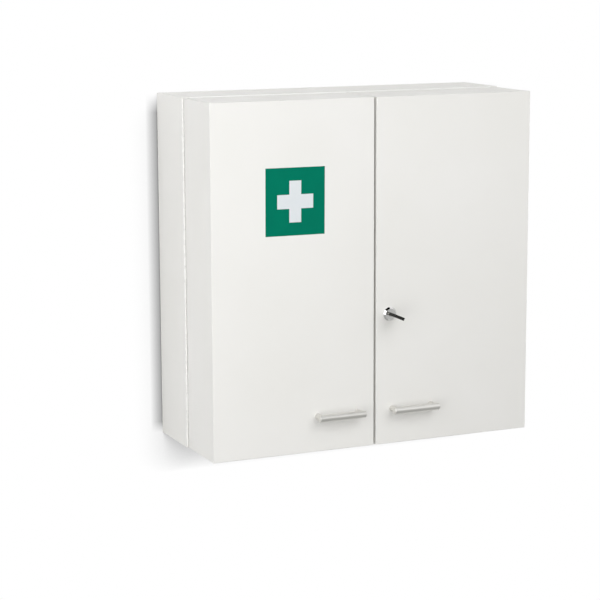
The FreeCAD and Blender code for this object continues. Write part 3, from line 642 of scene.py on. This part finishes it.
@dataclass
class PlateScrews:
    """The small pan-head screws of the catch, its two plates and the lock's strike plate."""

    catch: CrossScrew = CrossScrew(2.6, 1.1, 0.5, 0.6, ZINC, "zinc_steel")
    plate: CrossScrew = CrossScrew(1.9, 0.3, 0.15, 0.2, ZINC, "zinc_steel")
    catch_back_mm: float = 7.0
    catch_side_mm: float = 5.0
    plate_rise_mm: float = 10.2
    strike_end_mm: float = 6.0
    catch_spin_degrees: float = 20.0
    plate_spin_per_mm: float = 4.0
    strike_spin_per_m: float = 900.0

    def build(self) -> None:
        """Set the screws into the faces that they hold."""
        low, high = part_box("catch_housing")
        across, back = high.x - self.catch_side_mm * MM, high.y - self.catch_back_mm * MM
        spots = []
        for side in HANDS.values():
            spots.append((Vector((side * across, back, low.z)), self.catch_spin_degrees * side))
        self.catch.group("catch_screws", "carcass", Vector((0, 0, -1)), spots)
        for hand in HANDS:
            low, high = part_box(f"{hand}_catch_plate")
            middle = (low + high) / 2
            spots = []
            for rise in (-self.plate_rise_mm, self.plate_rise_mm):
                seat = Vector((middle.x, high.y, middle.z + rise * MM))
                spots.append((seat, self.plate_spin_per_mm * rise))
            self.plate.group(f"{hand}_catch_plate_screws", f"{hand}_door", Vector((0, 1, 0)), spots)
        low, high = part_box("strike_plate")
        middle = (low + high) / 2
        spots = []
        for z in (low.z + self.strike_end_mm * MM, high.z - self.strike_end_mm * MM):
            spots.append((Vector((high.x, middle.y, z)), self.strike_spin_per_m * z))
        self.plate.group("strike_plate_screws", "left_door", Vector((1, 0, 0)), spots)


@dataclass
class Bumpers:
    """The clear stops that meet the carcass at the free lower corner of each door."""

    radius_mm: float = 4.0
    height_mm: float = 1.5
    rise_mm: float = 6.5
    rings: int = 6
    steps: int = 28

    def build(self) -> None:
        """Add a low dome to the rear edge of each door's inner side."""
        for hand in HANDS:
            low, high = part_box(f"{hand}_door_inner_side")
            mesh = bmesh.new()
            place = Matrix.Translation(((low.x + high.x) / 2, high.y, low.z + self.rise_mm * MM))
            loops = []
            for level in range(self.rings):
                angle = math.pi / 2 * level / self.rings
                radius, height = self.radius_mm * math.cos(angle), self.height_mm * math.sin(angle)
                loops.append(ring(mesh, radius, height, self.steps))
            crown = mesh.verts.new((0, 0, self.height_mm * MM))
            for lower, upper in zip(loops, loops[1:]):
                join(mesh, lower, upper)
            for step in range(self.steps):
                mesh.faces.new((loops[-1][step], loops[-1][(step + 1) % self.steps], crown))
            mesh.faces.new(list(reversed(loops[0])))
            for face in mesh.faces:
                face.smooth = len(face.verts) < self.steps
            bmesh.ops.transform(mesh, matrix=place @ facing(Vector((0, 1, 0))), verts=mesh.verts[:])
            piece(f"{hand}_door_bumper", mesh, [SILICONE], f"{hand}_door")


@dataclass(frozen=True)
class Card:
    """A card that only shiny faces mirror, so that metal stands out from the white around it."""

    name: str
    colour: str
    size_m: Extent
    place_m: Point
    aim_m: Point


@dataclass(frozen=True)
class Lamp:
    """A soft lamp that points at the cabinet, with its power in watts."""

    name: str
    power: float
    size_m: Extent
    place_m: Point
    mirrored: bool


@dataclass(frozen=True)
class WallShadow:
    """A soft shadow on the wall beside the cabinet.

    It reaches so far from the cabinet, leaves the dark share of the light where the two touch, and leans
    towards where the missing light comes from.
    """

    reach_mm: float
    dark: float
    lean: Point


@dataclass
class Studio:
    """The white wall, the pale floor, the soft lamps and the camera."""

    wall_white: str = "#FFFFFF"
    wall_wide_m: float = 8.0
    wall_high_m: float = 5.4
    wall_bite_mm: float = 0.4
    beside: WallShadow = WallShadow(19.0, 0.16, (0.58, -0.2, 0.79))
    below: WallShadow = WallShadow(66.0, 0.14, (-0.6, -0.2, 0.77))
    darkest_open: float = 0.25
    shadow_samples: int = 16
    top_fade_mm: float = 30.0
    low_fade_mm: float = 17.0
    floor_grey: str = "#C6C6C4"
    floor_pale: str = "#E7E7E5"
    floor_glow: float = 0.42
    floor_m: float = -1.4
    floor_deep_m: float = 5.0
    sky_strength: float = 0.6
    target_m: Point = (0.0, -0.2, -0.25)
    lamps: tuple[Lamp, ...] = (
        Lamp("key_lamp", 31.5, (2.1, 2.1), (0.41, -2.3, 1.14), mirrored=False),
        Lamp("fill_lamp", 8.8, (0.8, 1.8), (-1.0, -1.15, -0.05), mirrored=True),
    )
    cards: tuple[Card, ...] = (
        Card("black_card", "#050505", (3.15, 1.35), (-0.83, -1.08, 1.71), (-0.83, -0.6, -0.25)),
        Card("grey_card", "#CBCBC9", (10.0, 1.5), (0.0, -5.0, -0.65), (0.0, -0.2, -0.25)),
        Card("low_card", "#B0B0AE", (8.0, 5.0), (0.0, -2.5, -1.39), (0.0, -2.5, 0.0)),
    )
    camera_mm: Point = (-1253.0, -2775.0, 249.0)
    yaw_degrees: float = 23.81
    pitch_degrees: float = 10.19
    roll_degrees: float = -0.25
    lens_mm: float = 115.6
    sensor_mm: float = 36.0
    far_m: float = 50.0

    def sheet(
        self, name: str, size_m: Extent, place: Matrix, finish: bpy.types.Material
    ) -> bpy.types.Object:
        """Return a flat piece of the studio, which is no part of the cabinet.

        Args:
            name: the piece's name.
            size_m: its width and height.
            place: where its middle is, with its front along +Z.
            finish: its material.

        Returns:
            The new object.
        """
        mesh = bmesh.new()
        across, upward = size_m[0] / 2, size_m[1] / 2
        spots = [(-across, -upward, 0), (across, -upward, 0), (across, upward, 0), (-across, upward, 0)]
        mesh.faces.new([mesh.verts.new(place @ Vector(spot)) for spot in spots])
        data = bpy.data.meshes.new(name)
        mesh.to_mesh(data)
        mesh.free()
        data.materials.append(finish)
        thing = bpy.data.objects.new(name, data)
        bpy.context.scene.collection.objects.link(thing)
        thing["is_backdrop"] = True
        return thing

    def room(self) -> None:
        """Build the wall, which the cabinet's back just sinks into, and the floor in front of it."""
        middle = Matrix.Translation((0, -self.wall_bite_mm * MM, self.floor_m + self.wall_high_m / 2))
        size = (self.wall_wide_m, self.wall_high_m)
        self.sheet("wall", size, middle @ facing(Vector((0, -1, 0))), self.wall_material())
        middle = Matrix.Translation((0, -self.floor_deep_m / 2, self.floor_m))
        size = (self.wall_wide_m, self.floor_deep_m)
        self.sheet("floor", size, middle, self.floor_material())

    def hang(self, card: Card) -> None:
        """Hang a card where neither the camera nor soft light meets it."""
        middle = Matrix.Translation(card.place_m) @ facing(Vector(card.aim_m) - Vector(card.place_m))
        thing = self.sheet(card.name, card.size_m, middle, self.glow(f"{card.name}_face", card.colour))
        thing.visible_camera = False
        thing.visible_diffuse = False
        thing.visible_shadow = False

    def glow(self, name: str, colour: str) -> bpy.types.Material:
        """Return a face that shows a colour as it is written, whatever the light."""
        made, tree = blank(name)
        light = add_node(tree, "ShaderNodeEmission", {"Color": linear(colour)}).outputs["Emission"]
        add_node(tree, "ShaderNodeOutputMaterial", {"Surface": light})
        return made

    def floor_material(self) -> bpy.types.Material:
        """Return matt grey paint, seen paler than it is, with the shadows that fall on it."""
        made, tree = blank("floor_paint")
        matt = add_node(tree, "ShaderNodeBsdfDiffuse", {"Color": linear(self.floor_grey)}).outputs["BSDF"]
        pale = add_node(tree, "ShaderNodeBsdfDiffuse", {"Color": linear(self.floor_pale)}).outputs["BSDF"]
        glow = add_node(tree, "ShaderNodeEmission", {"Strength": self.floor_glow}).outputs["Emission"]
        light = add_node(tree, "ShaderNodeAddShader", {0: pale, 1: glow}).outputs["Shader"]
        feeds = {0: self.seen(tree), 1: matt, 2: light}
        shown = add_node(tree, "ShaderNodeMixShader", feeds).outputs["Shader"]
        add_node(tree, "ShaderNodeOutputMaterial", {"Surface": shown})
        return made

    def seen(self, tree: Tree) -> Socket:
        """Return 1 where the eye, a mirror or a clear body looks, and 0 for light that only bounces."""
        rays = add_node(tree, "ShaderNodeLightPath").outputs
        feeds = {0: rays["Is Camera Ray"], 1: rays["Is Glossy Ray"]}
        either = add_node(tree, "ShaderNodeMath", feeds, operation="MAXIMUM").outputs["Value"]
        feeds = {0: either, 1: rays["Is Transmission Ray"]}
        return add_node(tree, "ShaderNodeMath", feeds, operation="MAXIMUM").outputs["Value"]

    def share(self, tree: Tree, shadow: WallShadow) -> Socket:
        """Return the share of the light that a shadow leaves on the wall, from its dark share to 1."""
        parts = dict(zip("XYZ", Vector(shadow.lean).normalized()))
        way = add_node(tree, "ShaderNodeCombineXYZ", parts).outputs["Vector"]
        feeds = {"Distance": shadow.reach_mm * MM, "Normal": way}
        opening = add_node(tree, "ShaderNodeAmbientOcclusion", feeds, samples=self.shadow_samples)
        feeds = {"Value": opening.outputs["AO"], "From Min": self.darkest_open, "To Min": shadow.dark}
        return add_node(tree, "ShaderNodeMapRange", feeds).outputs["Result"]

    def lit(self, tree: Tree, shade: Socket, start: float, end: float) -> Socket:
        """Let a shadow on the wall fade away between two heights.

        Args:
            tree: the wall material's node tree.
            shade: the share of the light that the shadow leaves.
            start: the height where it starts to fade.
            end: the height where it is gone.

        Returns:
            The share of the light that is left.
        """
        place = add_node(tree, "ShaderNodeTexCoord").outputs["Object"]
        height = add_node(tree, "ShaderNodeSeparateXYZ", {"Vector": place}).outputs["Z"]
        feeds = {"Value": height, "From Min": start, "From Max": end}
        gone = add_node(tree, "ShaderNodeMapRange", feeds).outputs["Result"]
        feeds = {MIX_SHARE: gone, VALUE_FROM: shade, VALUE_TO: 1.0}
        return add_node(tree, "ShaderNodeMix", feeds).outputs[VALUE_OUT]

    def wall_material(self) -> bpy.types.Material:
        """Return matt white paint, seen as plain white but for the soft shadows on it."""
        made, tree = blank("wall_paint")
        matt = add_node(tree, "ShaderNodeBsdfDiffuse", {"Color": linear(self.wall_white)}).outputs["BSDF"]
        bottom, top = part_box("carcass_bottom")[0].z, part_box("carcass_top")[1].z
        beside = self.share(tree, self.beside)
        beside = self.lit(tree, beside, bottom + self.low_fade_mm * MM, bottom)
        below = self.share(tree, self.below)
        feeds = {0: beside, 1: below}
        both = add_node(tree, "ShaderNodeMath", feeds, operation="MULTIPLY").outputs["Value"]
        white = self.lit(tree, both, top - self.top_fade_mm * MM, top)
        glow = add_node(tree, "ShaderNodeEmission", {"Strength": white}).outputs["Emission"]
        feeds = {0: self.seen(tree), 1: matt, 2: glow}
        shown = add_node(tree, "ShaderNodeMixShader", feeds).outputs["Shader"]
        clear = add_node(tree, "ShaderNodeBsdfTransparent").outputs["BSDF"]
        back = add_node(tree, "ShaderNodeNewGeometry").outputs["Backfacing"]
        face = add_node(tree, "ShaderNodeMixShader", {0: back, 1: shown, 2: clear}).outputs["Shader"]
        add_node(tree, "ShaderNodeOutputMaterial", {"Surface": face})
        return made

    def sky(self) -> None:
        """Light the scene from all round but overhead, and show plain white where nothing stands."""
        world = bpy.data.worlds.new("studio")
        bpy.context.scene.world = world
        world.use_nodes = True
        tree = world.node_tree
        tree.nodes.clear()
        way = add_node(tree, "ShaderNodeTexCoord").outputs["Generated"]
        height = add_node(tree, "ShaderNodeSeparateXYZ", {"Vector": way}).outputs["Z"]
        feeds = {"Value": height, "To Min": self.sky_strength, "To Max": 0.0}
        dome = add_node(tree, "ShaderNodeMapRange", feeds).outputs["Result"]
        feeds = {MIX_SHARE: self.seen(tree), VALUE_FROM: dome, VALUE_TO: 1.0}
        strength = add_node(tree, "ShaderNodeMix", feeds).outputs[VALUE_OUT]
        feeds = {"Color": linear(self.wall_white), "Strength": strength}
        light = add_node(tree, "ShaderNodeBackground", feeds).outputs["Background"]
        add_node(tree, "ShaderNodeOutputWorld", {"Surface": light})

    def light(self, lamp: Lamp) -> None:
        """Hang a lamp and point it at the cabinet."""
        data = bpy.data.lights.new(lamp.name, "AREA")
        data.energy = lamp.power
        data.shape = "RECTANGLE"
        data.size, data.size_y = lamp.size_m
        thing = bpy.data.objects.new(lamp.name, data)
        thing.location = lamp.place_m
        look = Vector(self.target_m) - Vector(lamp.place_m)
        thing.rotation_euler = look.to_track_quat("-Z", "Y").to_euler()
        thing.visible_camera = False
        thing.visible_glossy = lamp.mirrored
        bpy.context.scene.collection.objects.link(thing)

    def camera(self) -> None:
        """Set the camera where the photograph was taken from."""
        data = bpy.data.cameras.new("camera")
        data.lens = self.lens_mm
        data.sensor_width = self.sensor_mm
        data.clip_end = self.far_m
        yaw, pitch = math.radians(self.yaw_degrees), math.radians(self.pitch_degrees)
        level = math.cos(pitch)
        look = Vector((math.sin(yaw) * level, math.cos(yaw) * level, -math.sin(pitch)))
        turn = look.to_track_quat("-Z", "Y").to_matrix()
        roll = Matrix.Rotation(math.radians(self.roll_degrees), 3, "Z")
        thing = bpy.data.objects.new("camera", data)
        thing.matrix_world = Matrix.Translation(Vector(self.camera_mm) * MM) @ (turn @ roll).to_4x4()
        bpy.context.scene.collection.objects.link(thing)
        bpy.context.scene.camera = thing

    def build(self) -> None:
        """Set up the whole studio."""
        bpy.context.scene.view_settings.view_transform = "Standard"
        self.room()
        for card in self.cards:
            self.hang(card)
        self.sky()
        for lamp in self.lamps:
            self.light(lamp)
        self.camera()


def corners() -> list[list[float]]:
    """Return the lowest and highest corner of the cabinet as plain lists."""
    bpy.context.view_layer.update()
    return [list(corner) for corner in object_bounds()]


def main() -> None:
    """Dress the cabinet."""
    logging.basicConfig(level=logging.INFO, format="%(message)s")
    solid_box = corners()
    Solids().build()
    EdgeBands().build()
    Sign().build()
    HingeScrews().build()
    PlateScrews().build()
    Bumpers().build()
    Studio().build()
    {"solids": solid_box, "dressed": corners()}


if __name__ == "__main__":
    main()
